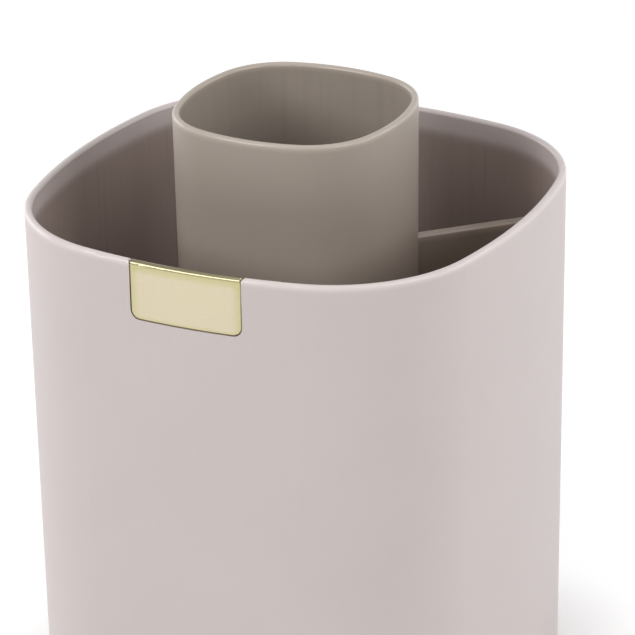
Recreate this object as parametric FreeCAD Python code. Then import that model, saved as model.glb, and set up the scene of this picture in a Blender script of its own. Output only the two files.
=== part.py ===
import FreeCAD, Part

import os
from math import atan2, cos, degrees, hypot, radians, sin, sqrt, tan

# A brush holder with a drawer: a tall outer pot with four bowed sides, a narrower inner pot that
# stands in its middle, a deck with two dividers under both, and a shallow drawer in the base.
# Millimetres. The origin is on the table under the middle of the holder, +Z is up, and the plate
# and the drawer are on the front, which faces -Y.

# ---- driving dimensions ------------------------------------------------------------------------

# outer pot, measured where its rim starts to round over
pot_half_width = 62.5          # middle of one side to the axis
pot_side_radius = 152.9        # how gently a side bows
pot_corner_radius = 38.3
pot_height = 134.0             # table to rim
pot_wall = 2.0
pot_draft = 0.85               # degrees, the pot narrows downwards
pot_base_bevel = 0.8
stand_height = 1.0             # the feet hold the pot this far off the table
ledge_width = 2.6              # inner ledge that the deck lies on
ledge_thickness = 1.6

# inner pot
cup_half_width = 28.95
cup_side_radius = 51.1
cup_corner_radius = 19.5
cup_wall = 1.8
cup_draft = 0.65               # degrees
cup_rise = 21.5                # its rim stands this far above the outer rim
cup_floor_thickness = 2.0
cup_floor_round = 3.0
cup_foot_height = 2.6          # hollow foot under the floor
cup_foot_bevel = 0.5

# deck and dividers
deck_height = 29.0             # table to the floor of the compartments
deck_thickness = 2.0
seat_height = 2.2              # raised seat that the cup's foot drops over
seat_width = 3.0
seat_bevel = 0.6
rib_height = 1.4               # stiffening ribs under the deck, from post to post
rib_thickness = 1.6
divider_thickness = 3.3        # at its top edge
divider_drop = 18.5            # its top edge lies this far below the outer rim
divider_draft = 0.3            # degrees on each face
divider_edge_round = 0.45
divider_root_round = 1.6
divider_angles = (45.0, 225.0)

# drawer
window_width = 74.0
window_height = 19.8
window_corner = 3.0
sill_height = 3.0              # wall left under the window
front_thickness = 2.0          # drawer front, at its lower edge
tray_width = 62.0
tray_wall = 1.5
tray_floor_thickness = 1.5
tray_top_gap = 1.4             # tray's edge below the window's top
tray_rear = 45.0               # from the axis back to the outside of the tray's rear wall
tray_corner = 5.0
tray_floor_round = 2.0
drawer_travel = 72.0
stop_tab_length = 7.0
notch_radius = 12.0            # half-moon for a fingertip, in the drawer's upper edge
notch_rise = 3.0               # its centre lies this far above that edge
hook_spacing = 40.0
hook_width = 7.0
hook_thickness = 1.3
hook_catch = 0.8
hook_height = 9.0              # from the drawer front's lower edge up to its hooks
hook_reach = 2.4               # how far the barb runs on past the tray's wall
front_edge_bevel = 0.3         # outer edges of the drawer front and of its window

# base chassis
chassis_thickness = 2.0
runner_width = 3.0
runner_spacing = 46.0
guide_thickness = 1.8
guide_height = 8.0
guide_lead = 8.0               # the guides start this far behind the drawer front
guide_corner = 3.0
post_radius = 4.6
post_wall_gap = 2.9            # from a screw post to the inside of the pot's corner
post_web_thickness = 2.0       # web from each post to the corner, its top carries the pot's ledge
spigot_radius = 3.0            # deck spigot that stands in each post
spigot_length = 7.0

# feet and screws
foot_radius = 6.5
foot_thickness = 2.0
foot_bevel = 0.5
screw_radius = 1.45
screw_length = 20.0
screw_head_radius = 2.8
screw_head_height = 1.9
screw_head_bevel = 0.7
screw_seat_depth = 3.4         # from the foot's pocket up to the screw head's seat
driver_slot_length = 3.2
driver_slot_width = 0.7
driver_slot_depth = 1.1

# plate folded over the rim
plate_width = 30.0
plate_drop = 15.2              # rim down to its lower edge
plate_thickness = 0.8
plate_fold_depth = 1.3         # how deep its folded top sits in the rim
plate_corner = 2.4
plate_bevel = 0.3
tape_thickness = 0.15
tape_margin = 1.5
shoulder_round = 0.9           # the rim rounds down into the notch on both sides

# clearances
deck_gap = 0.25                # round the deck, to the outer wall
divider_gap = 0.4              # divider's ends, to the outer wall and the cup
chassis_gap = 0.2
cup_seat_gap = 0.35
front_gap = 0.4                # all round the drawer front
tray_side_gap = 0.4
tray_rear_gap = 0.5
tray_under_gap = 0.3
stop_gap = 0.2                 # left between the stop tabs and the wall at full travel
hook_gap = 0.2
spigot_gap = 0.2
screw_gap = 0.25
thread_gap = 0.05
head_gap = 0.3
foot_gap = 0.15
plate_seam = 0.15

# ---- heights that follow from them ---------------------------------------------------------------

cup_top = pot_height + cup_rise
pot_bottom = stand_height
window_bottom = pot_bottom + sill_height
window_top = window_bottom + window_height
deck_bottom = deck_height - deck_thickness
ledge_bottom = deck_bottom - ledge_thickness
chassis_top = pot_bottom + chassis_thickness
tray_bottom = window_bottom + tray_under_gap
tray_top = window_top - tray_top_gap
front_bottom = window_bottom + front_gap
front_top = window_top - front_gap
plate_bottom = pot_height - plate_drop
far = 100.0                    # longer than anything that a cutting block passes through
touching = 1e-6                # points closer than this are one point
on_surface = 1e-3              # an edge this close to a surface lies on it


# ---- drawing helpers -----------------------------------------------------------------------------

def upright(x, z):
    """A point of a section drawn in the XZ plane."""
    return FreeCAD.Vector(x, 0, z)


def flat(x, y):
    """A point of a plan drawn in the XY plane."""
    return FreeCAD.Vector(x, y, 0)


def rounded_face(corners, place):
    """A face whose outline runs through corners (u, v, radius); a radius of 0 is a sharp corner.

    Where two rounded corners leave nothing straight between them, they become one arc.
    """
    starts, ends, middles = [], [], []
    count = len(corners)
    for index, (u, v, radius) in enumerate(corners):
        before = corners[index - 1]
        after = corners[(index + 1) % count]
        back = (before[0] - u, before[1] - v)
        ahead = (after[0] - u, after[1] - v)
        back = tuple(value / hypot(*back) for value in back)
        ahead = tuple(value / hypot(*ahead) for value in ahead)
        if radius == 0:
            starts.append(place(u, v))
            ends.append(place(u, v))
            middles.append(None)
            continue
        half = atan2(abs(back[0] * ahead[1] - back[1] * ahead[0]),
                     back[0] * ahead[0] + back[1] * ahead[1]) / 2
        run = radius / tan(half)
        depth = radius / sin(half) - radius
        inward = (back[0] + ahead[0], back[1] + ahead[1])
        inward = tuple(value / hypot(*inward) for value in inward)
        starts.append(place(u + back[0] * run, v + back[1] * run))
        ends.append(place(u + ahead[0] * run, v + ahead[1] * run))
        middles.append(place(u + inward[0] * depth, v + inward[1] * depth))
    edges = []
    arc_start = None
    for index in range(count):
        following = (index + 1) % count
        meets = ends[index].distanceToPoint(starts[following]) < touching
        if middles[index] is not None and meets and middles[following] is not None:
            arc_start = starts[index]
            continue
        if arc_start is not None:
            edges.append(Part.Arc(arc_start, starts[index], ends[index]).toShape())
            arc_start = None
        elif middles[index] is not None:
            edges.append(Part.Arc(starts[index], middles[index], ends[index]).toShape())
        if not meets:
            edges.append(Part.LineSegment(ends[index], starts[following]).toShape())
    return Part.Face(Part.Wire(edges))


def fused(shapes):
    """The shapes as one solid, without the seams between them."""
    whole = shapes[0].multiFuse(shapes[1:]).removeSplitter()
    return whole.Solids[0] if len(whole.Solids) == 1 else whole


def turned(shape, angle):
    """A copy of the shape turned about the holder's axis."""
    copy = shape.copy()
    copy.rotate(FreeCAD.Vector(0, 0, 0), FreeCAD.Vector(0, 0, 1), angle)
    return copy


def moved(shape, x, y, z):
    """A copy of the shape moved by x, y, z."""
    copy = shape.copy()
    copy.translate(FreeCAD.Vector(x, y, z))
    return copy


def rod(radius, bottom, top, x=0.0, y=0.0):
    """An upright cylinder."""
    return Part.makeCylinder(radius, top - bottom, FreeCAD.Vector(x, y, bottom))


def block(x0, x1, y0, y1, z0, z1):
    """A block between two opposite corners."""
    return Part.makeBox(x1 - x0, y1 - y0, z1 - z0, FreeCAD.Vector(x0, y0, z0))


def lowest_edges(shape):
    """The edges round the underside of a shape."""
    return [edge for edge in shape.Edges if edge.BoundBox.ZMax < shape.BoundBox.ZMin + on_surface]


def front_prism(face):
    """A face drawn in the XZ plane, run out through the front wall."""
    return face.extrude(FreeCAD.Vector(0, -far, 0))


class BowedSquare:
    """A square plan with bowed sides and round corners: eight tangent arcs.

    Every line parallel to it has the same eight centres, so a wall of any section is that section
    turned about each centre through its own arc. A section's x is 0 on the plan's outline and
    negative inside it.
    """

    def __init__(self, half_width, side_radius, corner_radius):
        self.side_radius = side_radius
        self.corner_radius = corner_radius
        self.side_centre = half_width - side_radius
        reach = side_radius - corner_radius
        self.corner_centre = (self.side_centre + sqrt(2 * reach ** 2 - self.side_centre ** 2)) / 2
        self.side_half_angle = atan2(self.corner_centre, self.corner_centre - self.side_centre)

    def arc_spans(self):
        """Centre, radius, first and last angle of one side and of the corner after it."""
        half = degrees(self.side_half_angle)
        side = (self.side_centre, 0.0, self.side_radius, -half, half)
        corner = (self.corner_centre, self.corner_centre, self.corner_radius, half, 90 - half)
        return side, corner

    def wall(self, section):
        """The solid that a section makes along the whole outline."""
        pieces = []
        for x, y, radius, first, last in self.arc_spans():
            face = moved(section, radius, 0, 0)
            face.rotate(FreeCAD.Vector(0, 0, 0), FreeCAD.Vector(0, 0, 1), first)
            face.translate(FreeCAD.Vector(x, y, 0))
            piece = face.revolve(FreeCAD.Vector(x, y, 0), FreeCAD.Vector(0, 0, 1), last - first)
            pieces += [turned(piece, quarter) for quarter in (0, 90, 180, 270)]
        return fused(pieces)

    def wire(self, inset, z):
        """The outline at a height, moved inwards by inset."""
        edges = []
        for quarter in (0, 90, 180, 270):
            for x, y, radius, first, last in self.arc_spans():
                points = []
                for angle in (first, (first + last) / 2, last):
                    turn = radians(angle)
                    reach = radius - inset
                    points.append(FreeCAD.Vector(x + reach * cos(turn), y + reach * sin(turn), z))
                edges.append(turned(Part.Arc(*points).toShape(), quarter))
        return Part.Wire(edges)

    def prism(self, inset, bottom, top):
        """An upright block with this plan."""
        face = Part.Face(self.wire(inset, bottom))
        return face.extrude(FreeCAD.Vector(0, 0, top - bottom))

    def stand_off(self, point):
        """How far a point lies outside the plan's outline, as if at the section's own height."""
        far_side = max(abs(point.x), abs(point.y))
        near_side = min(abs(point.x), abs(point.y))
        if atan2(near_side, far_side - self.side_centre) < self.side_half_angle:
            return hypot(far_side - self.side_centre, near_side) - self.side_radius
        centre = self.corner_centre
        return hypot(far_side - centre, near_side - centre) - self.corner_radius

    def corner_reach(self):
        """From the axis to the outline, along a diagonal."""
        return self.corner_centre * sqrt(2) + self.corner_radius


POT = BowedSquare(pot_half_width, pot_side_radius, pot_corner_radius)
CUP = BowedSquare(cup_half_width, cup_side_radius, cup_corner_radius)


def pot_inset(z):
    """How far the outer pot's outside lies inside its plan at a height."""
    return (pot_height - pot_wall / 2 - z) * tan(radians(pot_draft))


def cup_inset(z):
    """The same for the inner pot."""
    return (cup_top - cup_wall / 2 - z) * tan(radians(cup_draft))


def full_round(wall, draft):
    """Radius that rounds a drafted wall's rim from one face to the other."""
    return wall * cos(radians(draft)) / 2


def skin_edges(shape, bottom, top):
    """The edges that lie on the front of the pot's outside between two heights."""
    found = []
    for edge in shape.Edges:
        box = edge.BoundBox
        if box.ZMin < bottom - on_surface or box.ZMax > top + on_surface or box.YMin > 0:
            continue
        first, last = edge.ParameterRange
        points = [edge.valueAt(first + (last - first) * share) for share in (0.1, 0.5, 0.9)]
        if all(abs(POT.stand_off(point) + pot_inset(point.z)) < on_surface for point in points):
            found.append(edge)
    return found


def tapered(plan, inset_at, extra, bottom, top):
    """A solid that follows a drafted wall's outside, moved inwards by extra."""
    section = rounded_face([
        (-inset_at(bottom) - extra, bottom, 0),
        (-inset_at(top) - extra, top, 0),
        (-plan.corner_radius / 2, top, 0),
        (-plan.corner_radius / 2, bottom, 0),
    ], upright)
    core = plan.prism(plan.corner_radius / 2, bottom, top)
    return fused([plan.wall(section), core])


# ---- outer pot -----------------------------------------------------------------------------------

def window_prism(gap):
    """The drawer's window, made smaller all round by gap."""
    half = window_width / 2 - gap
    corner = window_corner - gap
    return front_prism(rounded_face([
        (-half, window_bottom + gap, corner),
        (half, window_bottom + gap, corner),
        (half, window_top - gap, corner),
        (-half, window_top - gap, corner),
    ], upright))


def rim_notch():
    """What the folded plate's top takes out of the rim, with rounded shoulders."""
    half = plate_width / 2 + plate_seam
    floor = pot_height - plate_fold_depth - plate_seam
    return front_prism(rounded_face([
        (-half, floor, 0),
        (half, floor, 0),
        (half, pot_height, shoulder_round),
        (half + plate_width, pot_height, 0),
        (half + plate_width, pot_height + pot_wall, 0),
        (-half - plate_width, pot_height + pot_wall, 0),
        (-half - plate_width, pot_height, 0),
        (-half, pot_height, shoulder_round),
    ], upright))


def plate_prism(grow):
    """The plate's outline seen from the front, made larger all round by grow."""
    half = plate_width / 2 + grow
    return front_prism(rounded_face([
        (-half, plate_bottom - grow, plate_corner + grow),
        (half, plate_bottom - grow, plate_corner + grow),
        (half, pot_height + pot_wall, 0),
        (-half, pot_height + pot_wall, 0),
    ], upright))


def outer_skin(depth, bottom, top):
    """The outermost layer of the pot's wall, depth thick."""
    return POT.wall(rounded_face([
        (-pot_inset(bottom) + depth, bottom, 0),
        (-pot_inset(top) + depth, top, 0),
        (-pot_inset(top) - depth, top, 0),
        (-pot_inset(bottom) - depth, bottom, 0),
    ], upright))


def outer_pot():
    rim_round = full_round(pot_wall, pot_draft)
    wall = POT.wall(rounded_face([
        (-pot_inset(pot_bottom) - pot_base_bevel, pot_bottom, 0),
        (-pot_inset(pot_bottom + pot_base_bevel), pot_bottom + pot_base_bevel, 0),
        (-pot_inset(pot_height), pot_height, rim_round),
        (-pot_inset(pot_height) - pot_wall, pot_height, rim_round),
        (-pot_inset(deck_bottom) - pot_wall, deck_bottom, 0),
        (-pot_inset(deck_bottom) - pot_wall - ledge_width, deck_bottom, 0),
        (-pot_inset(deck_bottom) - pot_wall - ledge_width, ledge_bottom, 0),
        (-pot_inset(ledge_bottom) - pot_wall, ledge_bottom, 0),
        (-pot_inset(pot_bottom) - pot_wall, pot_bottom, 0),
    ], upright))
    recess_depth = plate_thickness + tape_thickness
    recess = outer_skin(recess_depth, plate_bottom - plate_corner, pot_height + pot_wall)
    recess = recess.common(plate_prism(plate_seam))
    wall = wall.cut(window_prism(0))
    wall = wall.makeChamfer(front_edge_bevel, skin_edges(wall, window_bottom, window_top))
    return wall.cut(rim_notch()).cut(recess)


# ---- plate on the rim ----------------------------------------------------------------------------

def badge_plate():
    """A thin pressed plate, flush in its recess and folded back over the rim."""
    rim_round = full_round(pot_wall, pot_draft)
    fold_bottom = pot_height - plate_fold_depth
    low = plate_bottom - plate_corner
    strip = POT.wall(rounded_face([
        (-pot_inset(low), low, 0),
        (-pot_inset(pot_height), pot_height, rim_round),
        (-pot_inset(pot_height) - pot_wall, pot_height, rim_round),
        (-pot_inset(fold_bottom) - pot_wall, fold_bottom, 0),
        (-pot_inset(fold_bottom) - plate_thickness, fold_bottom, 0),
        (-pot_inset(low) - plate_thickness, low, 0),
    ], upright))
    plate = strip.common(plate_prism(0)).Solids[0]
    return plate.makeChamfer(plate_bevel, skin_edges(plate, low, pot_height))


def badge_tape():
    """Double-sided tape between the plate and its recess."""
    top = pot_height - plate_fold_depth - tape_margin
    low = plate_bottom - plate_corner
    inner = plate_thickness + tape_thickness
    strip = POT.wall(rounded_face([
        (-pot_inset(low) - plate_thickness, low, 0),
        (-pot_inset(top) - plate_thickness, top, 0),
        (-pot_inset(top) - inner, top, 0),
        (-pot_inset(low) - inner, low, 0),
    ], upright))
    return strip.common(plate_prism(-tape_margin)).Solids[0]


# ---- deck with dividers --------------------------------------------------------------------------

def post_reach():
    """From the axis to each screw, along a diagonal."""
    return POT.corner_reach() - pot_inset(pot_bottom) - pot_wall - post_wall_gap - post_radius


def post_places():
    """Where the four screws stand."""
    half = post_reach() / sqrt(2)
    return [(x, y) for x in (-half, half) for y in (-half, half)]


def divider(angle):
    """A wall from the cup's corner to the pot's corner."""
    top = pot_height - divider_drop
    half_top = divider_thickness / 2
    half_root = half_top + (top - deck_height) * tan(radians(divider_draft))
    foot = half_root + 2 * divider_root_round
    section = rounded_face([
        (foot, deck_bottom + deck_thickness / 2, 0),
        (foot, deck_height, 0),
        (half_root, deck_height, divider_root_round),
        (half_top, top, divider_edge_round),
        (-half_top, top, divider_edge_round),
        (-half_root, deck_height, divider_root_round),
        (-foot, deck_height, 0),
        (-foot, deck_bottom + deck_thickness / 2, 0),
    ], upright)
    # the section is drawn across +Y; run it along +Y, then turn +Y to the divider's own angle
    run = section.extrude(FreeCAD.Vector(0, POT.corner_reach(), 0))
    return turned(run, angle - 90)


def compartment_deck():
    top = pot_height - divider_drop
    room = tapered(POT, pot_inset, pot_wall + divider_gap, deck_bottom, top)
    cup_room = tapered(CUP, cup_inset, -divider_gap, deck_height, cup_top)
    plate = POT.prism(pot_inset(deck_bottom) + pot_wall + deck_gap, deck_bottom, deck_height)
    middle = deck_height - deck_thickness / 2
    foot_inset = cup_inset(deck_height) + cup_wall + cup_seat_gap
    seat_top = deck_height + seat_height
    seat = CUP.wall(rounded_face([
        (-foot_inset, middle, 0),
        (-foot_inset, seat_top - seat_bevel, 0),
        (-foot_inset - seat_bevel, seat_top, 0),
        (-foot_inset - seat_width, seat_top, 0),
        (-foot_inset - seat_width, middle, 0),
    ], upright))
    rib = block(-post_reach(), post_reach(), -rib_thickness / 2, rib_thickness / 2,
                deck_bottom - rib_height, middle)
    pieces = [plate, seat, turned(rib, 45), turned(rib, 135)]
    for angle in divider_angles:
        pieces.append(divider(angle).common(room).cut(cup_room))
    for x, y in post_places():
        pieces.append(rod(spigot_radius, deck_bottom - spigot_length, middle, x, y))
    deck = fused(pieces)
    for x, y in post_places():
        deck = deck.cut(rod(screw_radius + thread_gap, deck_bottom - spigot_length, deck_bottom, x, y))
    return deck


# ---- inner pot -----------------------------------------------------------------------------------

def inner_pot():
    rim_round = full_round(cup_wall, cup_draft)
    floor_bottom = deck_height + cup_foot_height
    floor_top = floor_bottom + cup_floor_thickness
    middle = cup_corner_radius / 2
    shell = CUP.wall(rounded_face([
        (-cup_inset(deck_height) - cup_foot_bevel, deck_height, 0),
        (-cup_inset(deck_height + cup_foot_bevel), deck_height + cup_foot_bevel, 0),
        (-cup_inset(cup_top), cup_top, rim_round),
        (-cup_inset(cup_top) - cup_wall, cup_top, rim_round),
        (-cup_inset(floor_top) - cup_wall, floor_top, cup_floor_round),
        (-middle, floor_top, 0),
        (-middle, floor_bottom, 0),
        (-cup_inset(floor_bottom) - cup_wall, floor_bottom, 0),
        (-cup_inset(deck_height) - cup_wall, deck_height, 0),
    ], upright))
    return fused([shell, CUP.prism(middle, floor_bottom, floor_top)])


# ---- base chassis, screws and feet ---------------------------------------------------------------

def chassis():
    inset = pot_inset(pot_bottom) + pot_wall + chassis_gap
    plate = POT.prism(inset, pot_bottom, chassis_top)
    guide_half = tray_width / 2 + tray_side_gap
    rear = tray_rear + tray_rear_gap
    front = -pot_half_width + pot_inset(window_bottom) + front_thickness + guide_lead
    outside = rounded_face([
        (-guide_half - guide_thickness, front, 0),
        (guide_half + guide_thickness, front, 0),
        (guide_half + guide_thickness, rear + guide_thickness, guide_corner + guide_thickness),
        (-guide_half - guide_thickness, rear + guide_thickness, guide_corner + guide_thickness),
    ], flat)
    inside = rounded_face([
        (-guide_half, front - guide_lead, 0),
        (guide_half, front - guide_lead, 0),
        (guide_half, rear, guide_corner),
        (-guide_half, rear, guide_corner),
    ], flat)
    lift = FreeCAD.Vector(0, 0, guide_height + chassis_thickness / 2)
    guide = outside.extrude(lift).cut(inside.extrude(lift))
    pieces = [plate, moved(guide, 0, 0, chassis_top - chassis_thickness / 2)]
    for side in (-1, 1):
        middle = side * runner_spacing / 2
        pieces.append(block(middle - runner_width / 2, middle + runner_width / 2,
                            front, rear, chassis_top - chassis_thickness / 2, window_bottom))
    room = tapered(POT, pot_inset, pot_wall + chassis_gap, chassis_top - chassis_thickness / 2, ledge_bottom)
    web = block(post_reach(), POT.corner_reach(), -post_web_thickness / 2, post_web_thickness / 2,
                chassis_top - chassis_thickness / 2, ledge_bottom)
    for x, y in post_places():
        pieces.append(rod(post_radius, chassis_top - chassis_thickness / 2, ledge_bottom, x, y))
        pieces.append(turned(web, degrees(atan2(y, x))).common(room))
    body = fused(pieces)
    seat = foot_thickness + screw_seat_depth
    for x, y in post_places():
        body = body.cut(rod(foot_radius + foot_gap, 0, foot_thickness, x, y))
        body = body.cut(rod(screw_head_radius + head_gap, 0, seat, x, y))
        body = body.cut(rod(screw_radius + screw_gap, 0, ledge_bottom, x, y))
        body = body.cut(rod(spigot_radius + spigot_gap, deck_bottom - spigot_length - spigot_gap,
                            deck_bottom, x, y))
    return body


def screw():
    """A pan-head screw with a cross slot, head down, its head's seat at z = 0."""
    head = rod(screw_head_radius, -screw_head_height, 0)
    head = head.makeChamfer(screw_head_bevel, lowest_edges(head))
    shank = rod(screw_radius, -screw_head_height / 2, screw_length - screw_radius)
    point = Part.makeCone(screw_radius, screw_radius / 4, screw_radius,
                          FreeCAD.Vector(0, 0, screw_length - screw_radius))
    body = fused([head, shank, point])
    half, narrow = driver_slot_length / 2, driver_slot_width / 2
    low, high = -screw_head_height, -screw_head_height + driver_slot_depth
    return body.cut(block(-half, half, -narrow, narrow, low, high)).cut(
        block(-narrow, narrow, -half, half, low, high))


def foot():
    """A rubber foot that fills its pocket and hides the screw."""
    pad = rod(foot_radius, 0, foot_thickness)
    return pad.makeChamfer(foot_bevel, lowest_edges(pad))


# ---- drawer --------------------------------------------------------------------------------------

def drawer_block(wall, bottom, top, floor_round=0):
    """A block with the drawer's plan, wall inside the tray's outside.

    The front follows the pot's own outline, the sides are straight and the rear corners round.
    """
    inset = pot_inset(window_bottom) + front_thickness + wall
    half = tray_width / 2 - wall
    corner = tray_corner - wall
    rear = tray_rear - wall
    plan = rounded_face([
        (-half, -far, 0),
        (half, -far, 0),
        (half, rear, corner),
        (-half, rear, corner),
    ], flat)
    box = moved(plan, 0, 0, bottom).extrude(FreeCAD.Vector(0, 0, top - bottom))
    if floor_round > 0:
        low = [edge for edge in lowest_edges(box) if edge.BoundBox.YMax > -far + on_surface]
        box = box.makeFillet(floor_round, low)
    return POT.prism(inset, bottom, top).common(box).Solids[0]


def finger_notch():
    """The half-moon cut through the drawer's upper front edge."""
    start = FreeCAD.Vector(0, -far, front_top + notch_rise)
    return Part.makeCylinder(notch_radius, far - tray_rear, start, FreeCAD.Vector(0, 1, 0))


def hook_places():
    return [side * hook_spacing / 2 for side in (-1, 1)]


def front_back_y(x):
    """Y of the drawer front's back face, at x."""
    reach = POT.side_radius - pot_inset(window_bottom) - front_thickness
    return -POT.side_centre - sqrt(reach ** 2 - x ** 2)


def drawer_tray():
    inner_floor = tray_bottom + tray_floor_thickness
    outside = drawer_block(0, tray_bottom, tray_top)
    inside = drawer_block(tray_wall, inner_floor, tray_top + 1, tray_floor_round)
    tray = outside.cut(inside)
    # stop tabs stand up from the side walls and meet the pot's front wall at full travel
    inner_wall = pot_half_width - pot_inset(window_top) - pot_wall
    half = tray_width / 2
    tab_front = -sqrt((POT.corner_radius - (pot_half_width - inner_wall)) ** 2
                      - (half - POT.corner_centre) ** 2) - POT.corner_centre + drawer_travel + stop_gap
    tab_top = ledge_bottom - tray_under_gap
    tabs = []
    for x0 in (-half, half - tray_wall):
        tabs.append(block(x0, x0 + tray_wall, tab_front, tab_front + stop_tab_length,
                          tray_top - tray_wall, tab_top))
    tray = fused([tray] + tabs)
    tray = tray.cut(finger_notch())
    low = front_bottom + hook_height - hook_thickness / 2 - hook_gap
    for x in hook_places():
        tray = tray.cut(block(x - hook_width / 2 - hook_gap, x + hook_width / 2 + hook_gap,
                              -far, -far / 3, low, low + hook_thickness + 2 * hook_gap))
    return tray


def drawer_front():
    back = -pot_inset(window_bottom) - front_thickness
    low, high = window_bottom, window_top
    strip = POT.wall(rounded_face([
        (-pot_inset(low), low, 0),
        (-pot_inset(high), high, 0),
        (back, high, 0),
        (back, low, 0),
    ], upright))
    panel = strip.common(window_prism(front_gap)).Solids[0]
    panel = panel.makeChamfer(front_edge_bevel, skin_edges(panel, low, high))
    panel = panel.cut(finger_notch())
    bottom = front_bottom + hook_height - hook_thickness / 2
    near_x = (hook_spacing - hook_width) / 2
    far_x = (hook_spacing + hook_width) / 2
    root = front_back_y(near_x) - front_thickness / 4
    catch = front_back_y(far_x) + tray_wall + hook_gap
    section = [
        (root, bottom),
        (catch + hook_reach, bottom),
        (catch + hook_reach, bottom + hook_thickness / 2),
        (catch, bottom + hook_thickness + hook_catch),
        (catch, bottom + hook_thickness),
        (root, bottom + hook_thickness),
    ]
    hooks = []
    for x in hook_places():
        points = [FreeCAD.Vector(x - hook_width / 2, y, z) for y, z in section]
        face = Part.Face(Part.makePolygon(points + points[:1]))
        hooks.append(face.extrude(FreeCAD.Vector(hook_width, 0, 0)))
    return fused([panel] + hooks)


# ---- the files -----------------------------------------------------------------------------------

def build():
    places = post_places()
    head_seat = foot_thickness + screw_seat_depth
    return {
        "outer_pot": outer_pot(),
        "badge_plate": badge_plate(),
        "badge_tape": badge_tape(),
        "compartment_deck": compartment_deck(),
        "inner_pot": inner_pot(),
        "base_chassis": chassis(),
        "chassis_screws": Part.Compound([moved(screw(), x, y, head_seat) for x, y in places]),
        "foot_pads": Part.Compound([moved(foot(), x, y, 0) for x, y in places]),
        "drawer_tray": drawer_tray(),
        "drawer_front": drawer_front(),
    }


os.makedirs("parts", exist_ok=True)
for name, shape in build().items():
    shape.exportStep("parts/" + name + ".step")
    box = shape.BoundBox
    print(name, "solids", len(shape.Solids), "valid", shape.isValid(), "volume", round(shape.Volume, 1),
          "x", round(box.XMin, 2), round(box.XMax, 2), "y", round(box.YMin, 2), round(box.YMax, 2),
          "z", round(box.ZMin, 2), round(box.ZMax, 2))
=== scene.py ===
# %% [markdown]
# # A brush holder with a drawer
# This lesson dresses a finished construction model of a brush holder: a tall pot with four bowed
# sides, a smaller pot standing in its middle, a deck with two dividers, and a shallow drawer in the
# base. The construction already gives every piece its shape and its place. What is left is how each
# surface looks, the light, the floor and the camera. All lengths are in metres, +Z is up, and the
# gold plate and the drawer are on the front, which faces -Y.

from math import cos, radians, sin

import bpy
from mathutils import Matrix, Vector


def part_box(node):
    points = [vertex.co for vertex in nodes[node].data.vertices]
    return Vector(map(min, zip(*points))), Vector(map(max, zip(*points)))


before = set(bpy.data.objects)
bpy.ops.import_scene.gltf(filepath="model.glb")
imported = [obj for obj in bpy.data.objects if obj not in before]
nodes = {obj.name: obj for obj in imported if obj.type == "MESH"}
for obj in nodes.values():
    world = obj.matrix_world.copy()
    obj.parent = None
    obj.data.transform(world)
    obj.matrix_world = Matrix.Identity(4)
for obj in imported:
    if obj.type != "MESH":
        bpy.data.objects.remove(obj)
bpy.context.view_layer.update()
MM = 0.001
print("pieces:", ", ".join(sorted(nodes)))

# %% [markdown]
# ## The camera
# A small pot is best shown from far away through a long lens, because then its sides stay nearly
# parallel. The camera stands a little to the right of the front and looks down into the pot. Blender
# could aim it with a Track To constraint, but a small roll is needed too. So the camera's three
# directions are built from two angles and the roll, which keeps every number readable.

# %% Place the camera
SENSOR_WIDTH = 36.0                    # millimetres, as on a real camera
camera_turn = radians(26.26)           # round the pot, from the front towards +X
camera_tilt = radians(22.98)           # downwards
camera_roll = radians(1.02)
camera_distance = 1247.9 * MM
camera_focal_length = 282.7            # a long lens, millimetres
aim_point = Vector((9.65, -9.50, 102.85)) * MM

level_right = Vector((cos(camera_turn), sin(camera_turn), 0))
level_ahead = Vector((-sin(camera_turn), cos(camera_turn), 0))
forward = level_ahead * cos(camera_tilt) - Vector((0, 0, sin(camera_tilt)))
upward = level_right.cross(forward)
rolled_right = level_right * cos(camera_roll) - upward * sin(camera_roll)
rolled_up = level_right * sin(camera_roll) + upward * cos(camera_roll)

camera_data = bpy.data.cameras.new("camera")
camera_data.sensor_width = SENSOR_WIDTH
camera_data.lens = camera_focal_length
camera = bpy.data.objects.new("camera", camera_data)
facing = Matrix((rolled_right, rolled_up, -forward)).transposed().to_4x4()
camera.matrix_world = Matrix.Translation(aim_point - forward * camera_distance) @ facing
bpy.context.scene.collection.objects.link(camera)
bpy.context.scene.camera = camera
print("camera at", [round(value, 3) for value in camera.matrix_world.translation])

# %% [markdown]
# ## Shader maths
# A procedural material is a sum of patterns, and wiring it node by node hides the sum. Here a small
# class wraps one socket, so that `1 - mask` or `0.4 + 0.1 * cloud` adds the Math nodes by itself.
# Colours and vectors don't go through Math nodes, which would turn them grey: they have their own
# methods below, on Mix and Vector Math.

# %% A socket that can be calculated with
class Value:
    """One socket of a finish. Arithmetic on it adds Math nodes."""

    def __init__(self, finish, socket):
        self.finish = finish
        self.socket = socket

    def maths(self, operation, first, second):
        return self.finish.node("ShaderNodeMath", {"operation": operation}, {0: first, 1: second})

    def __add__(self, other):
        return self.maths("ADD", self, other)

    def __sub__(self, other):
        return self.maths("SUBTRACT", self, other)

    def __rsub__(self, other):
        return self.maths("SUBTRACT", other, self)

    def __mul__(self, other):
        return self.maths("MULTIPLY", self, other)

    __radd__ = __add__
    __rmul__ = __mul__


print("operators:", "+ - *")

# %% [markdown]
# ## A finish
# Every surface below is one Principled BSDF with patterns in front of it. `Finish` makes the material
# and has one method, `node`, that adds any node: its settings first, then the values or links of its
# sockets. The other methods are the few patterns that moulded and pressed things need: a noise given
# by the size of its spots, a soft step, a colour mix, and a height that becomes a bump. A number that
# is the same all over a piece goes straight onto the shader's own socket.

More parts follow.
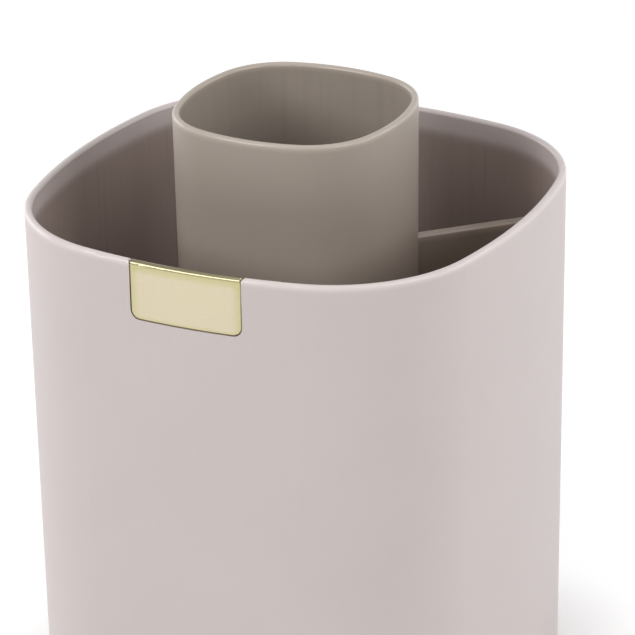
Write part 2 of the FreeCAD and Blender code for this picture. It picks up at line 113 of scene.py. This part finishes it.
# %% The finish class
class Finish:
    """A material with one Principled BSDF, and the nodes in front of it."""

    def __init__(self, name, constants=None):
        self.material = bpy.data.materials.new(name)
        self.material.use_nodes = True
        self.tree = self.material.node_tree
        self.shader = self.tree.nodes["Principled BSDF"]
        for socket_name, number in (constants or {}).items():
            self.shader.inputs[socket_name].default_value = number
        self.place = self.node("ShaderNodeTexCoord", output="Object")
        self.facing = self.node("ShaderNodeTexCoord", output="Normal")

    def node(self, kind, settings=None, sockets=None, output=0):
        """Add one node. The settings come first, because some of them change its sockets."""
        added = self.tree.nodes.new(kind)
        for name, setting in (settings or {}).items():
            setattr(added, name, setting)
        for name, value in (sockets or {}).items():
            self.feed(added.inputs[name], value)
        return Value(self, added.outputs[output])

    def feed(self, socket, value):
        """Link a Value to a socket, or set a plain number, colour or vector on it."""
        if isinstance(value, Value):
            self.tree.links.new(value.socket, socket)
        else:
            socket.default_value = value

    def wear(self, **values):
        """Feed what changes over the surface into the shader: base_color, roughness, normal..."""
        for name, value in values.items():
            self.feed(self.shader.inputs[name.replace("_", " ").title()], value)

    def noise(self, spot, stretch=(1, 1, 1), detail=2.0):
        """Soft noise from 0 to 1, with spots of about this size in metres, stretched along X, Y, Z."""
        scale = [1 / (spot * factor) for factor in stretch]
        spread = self.node("ShaderNodeVectorMath", {"operation": "MULTIPLY"}, {0: self.place, 1: scale})
        sockets = {"Vector": spread, "Scale": 1.0, "Detail": detail}
        return self.node("ShaderNodeTexNoise", None, sockets)

    def step(self, value, low, high):
        """0 below low, 1 above high, and smooth between. It falls instead where low is above high."""
        settings = {"interpolation_type": "SMOOTHSTEP"}
        return self.node("ShaderNodeMapRange", settings, {"Value": value, "From Min": low, "From Max": high})

    def mix(self, share, first, second):
        """A colour between two colours."""
        settings = {"data_type": "RGBA"}
        return self.node("ShaderNodeMix", settings, {0: share, 6: first, 7: second}, output=2)

    def part(self, vector, axis):
        """One coordinate of a vector: 0, 1 or 2 for X, Y or Z."""
        return self.node("ShaderNodeSeparateXYZ", None, {0: vector}, output=axis)

    def across(self):
        """The place seen from above, with its height taken out."""
        return self.node("ShaderNodeVectorMath", {"operation": "MULTIPLY"}, {0: self.place, 1: (1, 1, 0)})

    def bump(self, height, depth):
        """A bump this deep in metres, where height goes from 0 to 1."""
        return self.node("ShaderNodeBump", None, {"Height": height, "Distance": depth})


print("finish methods: node, wear, noise, step, mix, part, across, bump")

# %% [markdown]
# ## Colours
# Colours are written here as they look on a screen, 0 to 255, because that is how a maker's colour
# card gives them. Blender's sockets want linear light, so one short function converts them.

# %% Colours from the card
def on_screen(red, green, blue, brighter=1.0):
    """Linear colour of a screen colour, made brighter or darker by a factor."""
    linear = []
    for channel in (red, green, blue):
        share = channel / 255
        value = share / 12.92 if share <= 0.04045 else ((share + 0.055) / 1.055) ** 2.4
        linear.append(value * brighter)
    return (*linear, 1.0)


STONE = (206, 196, 194)
TAUPE = (167, 156, 145)
GREY = (98, 92, 88)
PALE_GOLD = (193, 183, 158)
print("stone in linear light:", [round(value, 3) for value in on_screen(*STONE)])

# %% [markdown]
# ## Moulded plastic
# The pots, deck, drawer and base are moulded in plastic. Its skin is never quite even: the mould was
# etched by sparks, which leaves a fine grain of soft pits; the pigment drifts a little over some
# centimetres; and handling leaves a few faint hairlines. All of it is the same recipe for each piece,
# with its own colour and grain, so it is one function. The grain is a bump a few thousandths of a
# millimetre deep: from an arm's length it only softens the gloss, and close up it can be seen.

# %% The moulded skin that all plastic pieces share
HEIGHT_UNIT = 0.02 * MM                # a height of 1 stands for this much
FINE_GRAIN = 0.35 * MM                 # size of the pits
FINE_GRAIN_DEPTH = 0.006 * MM


def moulded(name, colour, roughness, grain=FINE_GRAIN, grain_depth=FINE_GRAIN_DEPTH):
    """Start a plastic finish. Returns it with its colour, roughness and height patterns."""
    finish = Finish(name, {"IOR": 1.48})
    cloud = finish.noise(34 * MM, detail=3.0)
    speckle = finish.noise(0.5 * MM)
    hairline = finish.step(finish.noise(1.2 * MM, stretch=(26, 26, 0.22)), 0.70, 0.78)
    tone = 0.5 + 0.9 * (cloud - 0.5) + 0.5 * (speckle - 0.5)
    skin = finish.mix(tone, on_screen(*colour, brighter=0.955), on_screen(*colour, brighter=1.045))
    gloss = roughness + 0.10 * (cloud - 0.5) + 0.07 * hairline
    pits = finish.noise(grain, detail=3.0)
    height = pits * (grain_depth / HEIGHT_UNIT) - 0.12 * hairline
    return finish, skin, gloss, height


print("grain is", round(FINE_GRAIN_DEPTH / HEIGHT_UNIT, 2), "of a height unit")

# %% [markdown]
# ## The stone-coloured pot and drawer front
# The outer pot and the drawer front come out of the same batch of pale, warm grey plastic, so they
# share one finish and the drawer front disappears into the wall. Hands touch the rim most, which
# polishes it; its colour is also painted brighter, a painted highlight where light from above falls
# on it. The first few millimetres of the inside are painted brighter too: painted light, a lit band
# just below the rim. The lowest few millimetres rub on the table, which leaves them duller and a
# little darker. Below the band of painted light the inside is painted darker and browner than the
# outside: painted shade deep in the pot, in which brush handles leave faint upright streaks. The
# surface's own direction tells the inside from the outside: inside, it points back to the axis.

# %% Stone plastic
# The first colour is painted shade inside the pot, below the band of painted light.
INSIDE_SHADE_STONE = (185, 168, 162)
STREAKED_STONE = (167, 150, 144)
SCUFFED_STONE = (168, 160, 156)
PAINTED_LIGHT_STONE = 1.25                     # how much brighter the painted light is, on the rim and the band inside
LIT_BAND_DEPTH = 4.0 * MM                 # the band of painted light inside, from the top down
INSIDE_SHADE_DEPTH = 7.8 * MM                # from here down the inside is fully painted in shade
SCUFF_HEIGHT = 5 * MM
pot_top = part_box("outer_pot")[1][2]
pot_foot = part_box("outer_pot")[0][2]


def inward(finish):
    """1 on surfaces that face the holder's axis, 0 on those that face away."""
    away = finish.node("ShaderNodeVectorMath", {"operation": "NORMALIZE"}, {0: finish.across()})
    sockets = {0: away, 1: finish.facing}
    outward = finish.node("ShaderNodeVectorMath", {"operation": "DOT_PRODUCT"}, sockets, output="Value")
    return finish.step(outward, 0.1, -0.1)


def rim_polish_and_highlight(finish, level, top):
    """1 on the rounded rim of a wall that ends at this top, 0 below it."""
    return finish.step(level, top - 2.2 * MM, top - 0.3 * MM)


def stone_plastic():
    finish, skin, gloss, height = moulded("stone_plastic", STONE, roughness=0.46)
    level = finish.part(finish.place, 2)
    polish_and_highlight = rim_polish_and_highlight(finish, level, pot_top)
    scuffed = (finish.step(level, pot_foot + SCUFF_HEIGHT, pot_foot)
               * finish.noise(5 * MM, stretch=(1, 1, 0.4)))
    inside = inward(finish)
    inside_shade_zone = finish.step(level, pot_top - LIT_BAND_DEPTH, pot_top - INSIDE_SHADE_DEPTH)
    streaks = inside * inside_shade_zone * finish.step(finish.noise(1.6 * MM, stretch=(1, 1, 40)), 0.52, 0.72)
    # Painted light: a brighter band inside, just below the rim.
    skin = finish.mix(inside * (1 - inside_shade_zone), skin, on_screen(*STONE, brighter=PAINTED_LIGHT_STONE))
    # Painted shade: the inside is darker and browner below the band.
    skin = finish.mix(inside * inside_shade_zone, skin, on_screen(*INSIDE_SHADE_STONE))
    skin = finish.mix(0.35 * streaks, skin, on_screen(*STREAKED_STONE))
    skin = finish.mix(0.5 * scuffed, skin, on_screen(*SCUFFED_STONE))
    # Painted highlight: the rim's colour is made brighter, as where light from above falls.
    skin = finish.mix(polish_and_highlight, skin, on_screen(*STONE, brighter=PAINTED_LIGHT_STONE))
    finish.wear(base_color=skin, roughness=gloss - 0.16 * polish_and_highlight + 0.18 * scuffed - 0.05 * streaks,
                coat_weight=0.1 * polish_and_highlight, normal=finish.bump(height, HEIGHT_UNIT))
    return finish.material


stone = stone_plastic()
print("stone plastic has", len(stone.node_tree.nodes), "nodes")

# %% [markdown]
# ## The taupe inner pot, deck and tray
# The inner pot and the deck are moulded in a darker, browner plastic, which hides the powder that
# falls off the brushes. The inner pot is the piece that is lifted out, so its rim is rubbed smooth. The
# top edges of the inner pot, the deck and the tray are painted brighter: a painted highlight where
# light from above falls on them. The deck is also painted a darker taupe than the inner pot, as
# painted shade down in the pot. A fan-shaped flow of plastic leaves faint upright lines on a tall
# thin wall, and loose powder settles where a surface faces up, most of all in the corners of a floor.

# %% Taupe plastic
# The deck's colour is the inner pot's taupe painted darker: painted shade down in the pot.
SHADED_DECK_TAUPE = (152, 140, 130)
LOOSE_POWDER = (206, 178, 162)


def taupe_plastic(name, top, colour=TAUPE, wear_and_highlight=1.2):
    """Glossier rim below this top, painted brighter by the factor: a painted highlight."""
    finish, skin, gloss, height = moulded(name, colour, roughness=0.42)
    level = finish.part(finish.place, 2)
    polish_and_highlight = rim_polish_and_highlight(finish, level, top)
    flow = finish.noise(2.4 * MM, stretch=(1, 1, 60))
    streaks = inward(finish) * finish.step(finish.noise(1.4 * MM, stretch=(1, 1, 40)), 0.50, 0.72)
    flat_top = finish.step(finish.part(finish.facing, 2), 0.80, 0.98)
    powder = flat_top * finish.step(finish.noise(4 * MM, detail=5.0), 0.45, 0.75) * (1 - polish_and_highlight)
    skin = finish.mix(0.3 * streaks + 0.16 * flow, skin, on_screen(*colour, brighter=0.86))
    skin = finish.mix(0.3 * powder, skin, on_screen(*LOOSE_POWDER))
    # Painted highlight: the rim's colour is made brighter, as where light from above falls.
    skin = finish.mix(polish_and_highlight, skin, on_screen(*colour, brighter=wear_and_highlight))
    finish.wear(base_color=skin, roughness=gloss - 0.14 * polish_and_highlight + 0.25 * powder,
                coat_weight=0.1 * polish_and_highlight, normal=finish.bump(height + 0.10 * flow, HEIGHT_UNIT))
    return finish.material


taupe = taupe_plastic("taupe_plastic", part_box("inner_pot")[1][2], wear_and_highlight=1.35)
taupe_deck = taupe_plastic("taupe_plastic_deck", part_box("compartment_deck")[1][2], SHADED_DECK_TAUPE, wear_and_highlight=1.45)
taupe_tray = taupe_plastic("taupe_plastic_tray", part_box("drawer_tray")[1][2])
print("taupe finishes:", taupe.name, taupe_deck.name, taupe_tray.name)

# %% [markdown]
# ## The grey base
# The base is never seen in use, so it is moulded in the cheapest way: a dark grey with recycled
# pigment, a coarser grain, and round marks where the ejector pins pushed it out of the mould. Each
# mark is a shallow disc with a raised edge. Its place is worked out from the distance to a point, so
# it needs no extra mesh.

# %% Grey plastic with ejector marks
COARSE_GRAIN = 0.6 * MM
COARSE_GRAIN_DEPTH = 0.012 * MM
PIN_RADIUS = 3.2 * MM
PIN_RIM = 0.25 * MM
pin_places = [(x * MM, y * MM) for x in (-18, 18) for y in (-22, 22)]


def ejector_mark(finish, x, y):
    """A disc a little below the surface, and the thin burr round it."""
    sockets = {0: finish.across(), 1: (x, y, 0)}
    distance = finish.node("ShaderNodeVectorMath", {"operation": "DISTANCE"}, sockets, output="Value")
    disc = finish.step(distance, PIN_RADIUS + PIN_RIM, PIN_RADIUS)
    inner = finish.step(distance, PIN_RADIUS - PIN_RIM, PIN_RADIUS - 2 * PIN_RIM)
    return disc, disc - inner


def grey_plastic():
    finish, skin, gloss, height = moulded("grey_plastic", GREY, roughness=0.58, grain=COARSE_GRAIN,
                                          grain_depth=COARSE_GRAIN_DEPTH)
    for x, y in pin_places:
        disc, burr = ejector_mark(finish, x, y)
        height = height - 1.5 * disc + 2.5 * burr
        gloss = gloss - 0.16 * disc
    swirl = finish.step(finish.noise(16 * MM, stretch=(1, 2.5, 1), detail=4.0), 0.55, 0.75)
    skin = finish.mix(0.25 * swirl, skin, on_screen(*GREY, brighter=1.35))
    finish.wear(base_color=skin, roughness=gloss, normal=finish.bump(height, HEIGHT_UNIT))
    return finish.material


grey = grey_plastic()
print("ejector marks:", len(pin_places))

# %% [markdown]
# ## The pale gold plate
# The plate is thin sheet metal, plated in a pale gold and folded over the rim. A plated and lacquered
# sheet has a fine satin grain from the sanding belt, which runs along its length, and a barely wavy
# surface from the press. The plate is darker and more olive towards its edges and just below the
# fold. Handling polishes the fold, so it shines in one thin line, and the fold's colour is painted
# dark: a painted reflection of the dark inside of the pot. The gold colour belongs in Base Color,
# with Metallic at 1: a metal has no other colour than its reflection. The plate is bare.

# %% Pale gold
GOLD_STAIN = (201, 185, 146)
GOLD_OLIVE_EDGE = (181, 173, 132)          # darker and more olive, towards the edges and below the fold
GOLD_FOLD_REFLECTION = (120, 113, 92)
OLIVE_SIDE = 2.8 * MM                 # how far the olive reaches in from the sides,
OLIVE_FOOT = 1.4 * MM                 # up from the lower edge,
OLIVE_TOP = (3.4 * MM, 1.4 * MM)      # and where it begins and is full below the fold
FOLD_LINE = (1.2 * MM, 0.7 * MM)       # where the glossier fold with its painted dark reflection begins and is full, below the top


def pale_gold():
    finish = Finish("pale_gold", {"Metallic": 1.0})
    (left, _, foot), (right, _, top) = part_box("badge_plate")
    level = finish.part(finish.place, 2)
    from_middle = finish.node("ShaderNodeMath", {"operation": "ABSOLUTE"},
                              {0: finish.part(finish.place, 0) - (left + right) / 2})
    half = (right - left) / 2
    olive_edges = (finish.step(from_middle, half - OLIVE_SIDE, half)
              + finish.step(level, foot + OLIVE_FOOT, foot)
              + finish.step(level, top - OLIVE_TOP[0], top - OLIVE_TOP[1]))
    fold = finish.step(level, top - FOLD_LINE[0], top - FOLD_LINE[1])
    belt = finish.noise(0.12 * MM, stretch=(22, 22, 1), detail=3.0)
    wave = finish.noise(9 * MM)
    stain = finish.step(finish.noise(6 * MM, detail=4.0), 0.55, 0.8)
    skin = finish.mix(0.5 + 0.8 * (belt - 0.5), on_screen(*PALE_GOLD, brighter=0.95),
                      on_screen(*PALE_GOLD, brighter=1.05))
    skin = finish.mix(0.25 * stain, skin, on_screen(*GOLD_STAIN))
    skin = finish.mix(0.9 * olive_edges, skin, on_screen(*GOLD_OLIVE_EDGE))
    # Painted reflection: the fold is darkened as if reflecting the dark inside of the pot.
    skin = finish.mix(0.85 * fold, skin, on_screen(*GOLD_FOLD_REFLECTION))
    height = 0.05 * belt + 0.8 * wave
    finish.wear(base_color=skin, roughness=0.29 + 0.10 * (belt - 0.5) + 0.05 * stain - 0.1 * fold,
                normal=finish.bump(height, HEIGHT_UNIT))
    return finish.material


gold = pale_gold()
print("gold base colour:", [round(value, 3) for value in on_screen(*PALE_GOLD)])

# %% [markdown]
# ## Tape, screws and feet
# Three small things finish the underside. The foam tape behind the plate is white and full of open
# bubbles. The screws are zinc plated: bright, bluish, with the cloudy spangle that zinc leaves. The
# feet are soft dark rubber that has picked up lint and is rubbed pale where it stands on the table.

# %% Foam tape
FOAM_HOLLOW_SHADE = (176, 172, 164)
FOAM_BUBBLE = (226, 223, 216)


def foam_tape():
    finish = Finish("adhesive_foam")
    bubbles = finish.step(finish.noise(0.25 * MM, detail=1.0), 0.40, 0.62)
    # Painted shade: the hollows between the bubbles are painted darker.
    skin = finish.mix(bubbles, on_screen(*FOAM_HOLLOW_SHADE), on_screen(*FOAM_BUBBLE))
    finish.wear(base_color=skin, roughness=0.95 - 0.1 * bubbles,
                normal=finish.bump(bubbles, 2 * HEIGHT_UNIT))
    return finish.material


tape = foam_tape()
print("made", tape.name)

# %% Zinc plated screws
ZINC_BLUE = (176, 181, 186)
ZINC_PALE = (214, 213, 206)


def zinc_steel():
    finish = Finish("zinc_steel", {"Metallic": 1.0})
    spangle = finish.noise(0.9 * MM, detail=4.0)
    turned = finish.noise(0.08 * MM, stretch=(12, 12, 1))
    skin = finish.mix(spangle, on_screen(*ZINC_BLUE), on_screen(*ZINC_PALE))
    finish.wear(base_color=skin, roughness=0.26 + 0.22 * spangle,
                normal=finish.bump(0.3 * turned, HEIGHT_UNIT))
    return finish.material


zinc = zinc_steel()
print("made", zinc.name)

# %% Rubber feet
RUBBER = (44, 43, 43)
RUBBED_RUBBER = (84, 81, 79)
LINT = (150, 146, 140)
RUBBED_HEIGHT = 0.4 * MM


def foot_rubber():
    finish = Finish("foot_rubber", {"IOR": 1.52})
    level = finish.part(finish.place, 2)
    wear_and_highlight = finish.step(level, RUBBED_HEIGHT, 0.0) * finish.noise(1.2 * MM, detail=4.0)
    lint = finish.step(finish.noise(0.35 * MM, stretch=(1, 3, 1)), 0.66, 0.76)
    skin = finish.mix(wear_and_highlight, on_screen(*RUBBER), on_screen(*RUBBED_RUBBER))
    skin = finish.mix(0.5 * lint, skin, on_screen(*LINT))
    finish.wear(base_color=skin, roughness=0.72 + 0.2 * wear_and_highlight,
                normal=finish.bump(finish.noise(0.5 * MM, detail=3.0), HEIGHT_UNIT))
    return finish.material


rubber = foot_rubber()
print("made", rubber.name)

# %% [markdown]
# ## Dress the pieces
# The construction's own meshes are exact, so none is replaced: each gets its finish in its material
# slot. A mesh's slots are cleared first, because it arrives with a plain grey one.

# %% Give each piece its finish
finishes = {
    "outer_pot": stone,
    "drawer_front": stone,
    "inner_pot": taupe,
    "compartment_deck": taupe_deck,
    "drawer_tray": taupe_tray,
    "base_chassis": grey,
    "badge_plate": gold,
    "badge_tape": tape,
    "chassis_screws": zinc,
    "foot_pads": rubber,
}
for node_name, material in finishes.items():
    mesh = nodes[node_name].data
    mesh.materials.clear()
    mesh.materials.append(material)
print("dressed", len(finishes), "of", len(nodes), "pieces")

# %% [markdown]
# ## The floor
# The holder stands on a plain pale floor that runs past every view. It should look white and still
# keep the holder's soft shadow. More light would do the first and bleach the holder, so the floor
# gets a little glow of its own instead, and only where the camera or a reflection sees it: Light
# Path tells one kind of ray from another. The glow would also wash out the contact shadow, so it
# fades towards the holder's foot: that paints a darker ring round the foot, a painted contact shadow
# over the cast one. Behind the lamps the floor gets less light than between them, so it glows more
# there. Without that, a low view would show a grey band behind the holder.

# %% Floor
def seen_directly(finish):
    """1 for rays from the camera, from a reflection or through glass; 0 for the light's own rays."""
    kinds = [finish.node("ShaderNodeLightPath", output=kind)
             for kind in ("Is Camera Ray", "Is Glossy Ray", "Is Transmission Ray")]
    return finish.step(kinds[0] + kinds[1] + kinds[2], 0.0, 1.0)


def distance_from_holder(finish):
    """Distance from the axis, in a measure that is the same all round the holder's bowed outline."""
    across = finish.node("ShaderNodeVectorMath", {"operation": "ABSOLUTE"}, {0: finish.place})
    x, y = finish.part(across, 0), finish.part(across, 1)
    return finish.node("ShaderNodeMath", {"operation": "POWER"}, {0: x * x * x + y * y * y, 1: 1 / 3})


FLOOR_HALF = 4.0                       # half of the floor's width, metres
FLOOR_PALE = (0.855, 0.855, 0.855, 1)
FLOOR_PALER = (0.865, 0.865, 0.865, 1)
FLOOR_GLOW = 0.45                      # at a strength of 1 the glow alone would be white
FOOT_GLOW = 0.58                       # share of the glow left at the holder's foot, a painted contact shadow,
FOOT_REACH = (59 * MM, 85 * MM)        # from the outline to where the glow is whole
FAR_GLOW = 2.0                         # times the glow behind the lamps,
FAR_REACH = (0.5, 1.2)                 # metres from the axis


def grey_of(share):
    """A neutral colour for a socket, as bright as this share of white."""
    return (share, share, share, 1)


def floor_finish():
    finish = Finish("floor", {"Roughness": 0.6, "Emission Strength": FLOOR_GLOW})
    cloud = finish.noise(60 * MM, detail=3.0)
    distance = distance_from_holder(finish)
    # Painted contact shadow: the glow fades towards the holder's foot.
    glow = finish.mix(finish.step(distance, *FOOT_REACH), grey_of(FOOT_GLOW), grey_of(1))
    glow = finish.mix(finish.step(distance, *FAR_REACH), glow, grey_of(FAR_GLOW))
    finish.wear(base_color=finish.mix(cloud, FLOOR_PALE, FLOOR_PALER),
                emission_color=finish.mix(seen_directly(finish), grey_of(0), glow))
    return finish.material


corners = [(x * FLOOR_HALF, y * FLOOR_HALF, 0) for x, y in ((-1, -1), (1, -1), (1, 1), (-1, 1))]
floor_mesh = bpy.data.meshes.new("floor")
floor_mesh.from_pydata(corners, [], [(0, 1, 2, 3)])
floor_mesh.materials.append(floor_finish())
floor = bpy.data.objects.new("floor", floor_mesh)
bpy.context.scene.collection.objects.link(floor)
print("floor is", 2 * FLOOR_HALF, "m wide")

# %% [markdown]
# ## The light
# The light is soft and comes from both sides, so the two sides of the pot are bright and the rounded
# corner between them is a little darker. Large area lamps do that: the larger a lamp is for its
# distance, the softer its shadow. One more hangs overhead and draws the bright line on the rims and
# on the divider. The world around them adds an even fill, and it is plain white where the camera or a
# reflection sees it.

# %% Soft lamps
LAMP_TARGET = Vector((0, 0, 80 * MM))
LAMP_DISTANCE = 1.4                    # metres from the target


def softbox(name, azimuth, elevation, width, height, watts):
    """An area lamp that faces the holder. Its azimuth turns from the front towards +X."""
    data = bpy.data.lights.new(name, "AREA")
    data.shape = "RECTANGLE"
    data.size = width
    data.size_y = height
    data.energy = watts
    lamp = bpy.data.objects.new(name, data)
    turn, lift = radians(azimuth), radians(elevation)
    towards = Vector((sin(turn) * cos(lift), -cos(turn) * cos(lift), sin(lift)))
    lamp.location = LAMP_TARGET + towards * LAMP_DISTANCE
    lamp.rotation_euler = towards.to_track_quat("Z", "Y").to_euler()
    lamp.visible_camera = False
    bpy.context.scene.collection.objects.link(lamp)
    return lamp


# name, azimuth and elevation in degrees, width and height in metres, power in watts
softbox("front_softbox", -27, 27, 0.8, 0.6, 9.0)
softbox("right_softbox", 78, 27, 0.8, 0.6, 5.8)
softbox("left_strip", -98, 12, 1.0, 0.7, 4.1)
softbox("right_strip", 122, 12, 1.0, 0.7, 4.7)
softbox("top_softbox", 0, 86, 1.0, 1.0, 3.6)
print("lamps:", [lamp.name for lamp in bpy.data.lights])

# %% The world
FILL_STRENGTH = 0.21
world = bpy.data.worlds.new("studio")
world.use_nodes = True
bpy.context.scene.world = world


class Surroundings(Finish):
    """The world's nodes, with the same methods as a finish."""

    def __init__(self, world_data):
        self.tree = world_data.node_tree


studio = Surroundings(world)
fill = studio.node("ShaderNodeBackground", None, {"Color": (1, 1, 1, 1), "Strength": FILL_STRENGTH})
white = studio.node("ShaderNodeBackground", None, {"Color": (1, 1, 1, 1), "Strength": 1.0})
both = studio.node("ShaderNodeMixShader", None, {0: seen_directly(studio), 1: fill, 2: white})
studio.feed(world.node_tree.nodes["World Output"].inputs["Surface"], both)
print("world fill:", FILL_STRENGTH)

# %% [markdown]
# ## Finish
# The Standard view transform shows a colour as it is written.

# %% Set the view transform
bpy.context.scene.view_settings.view_transform = "Standard"
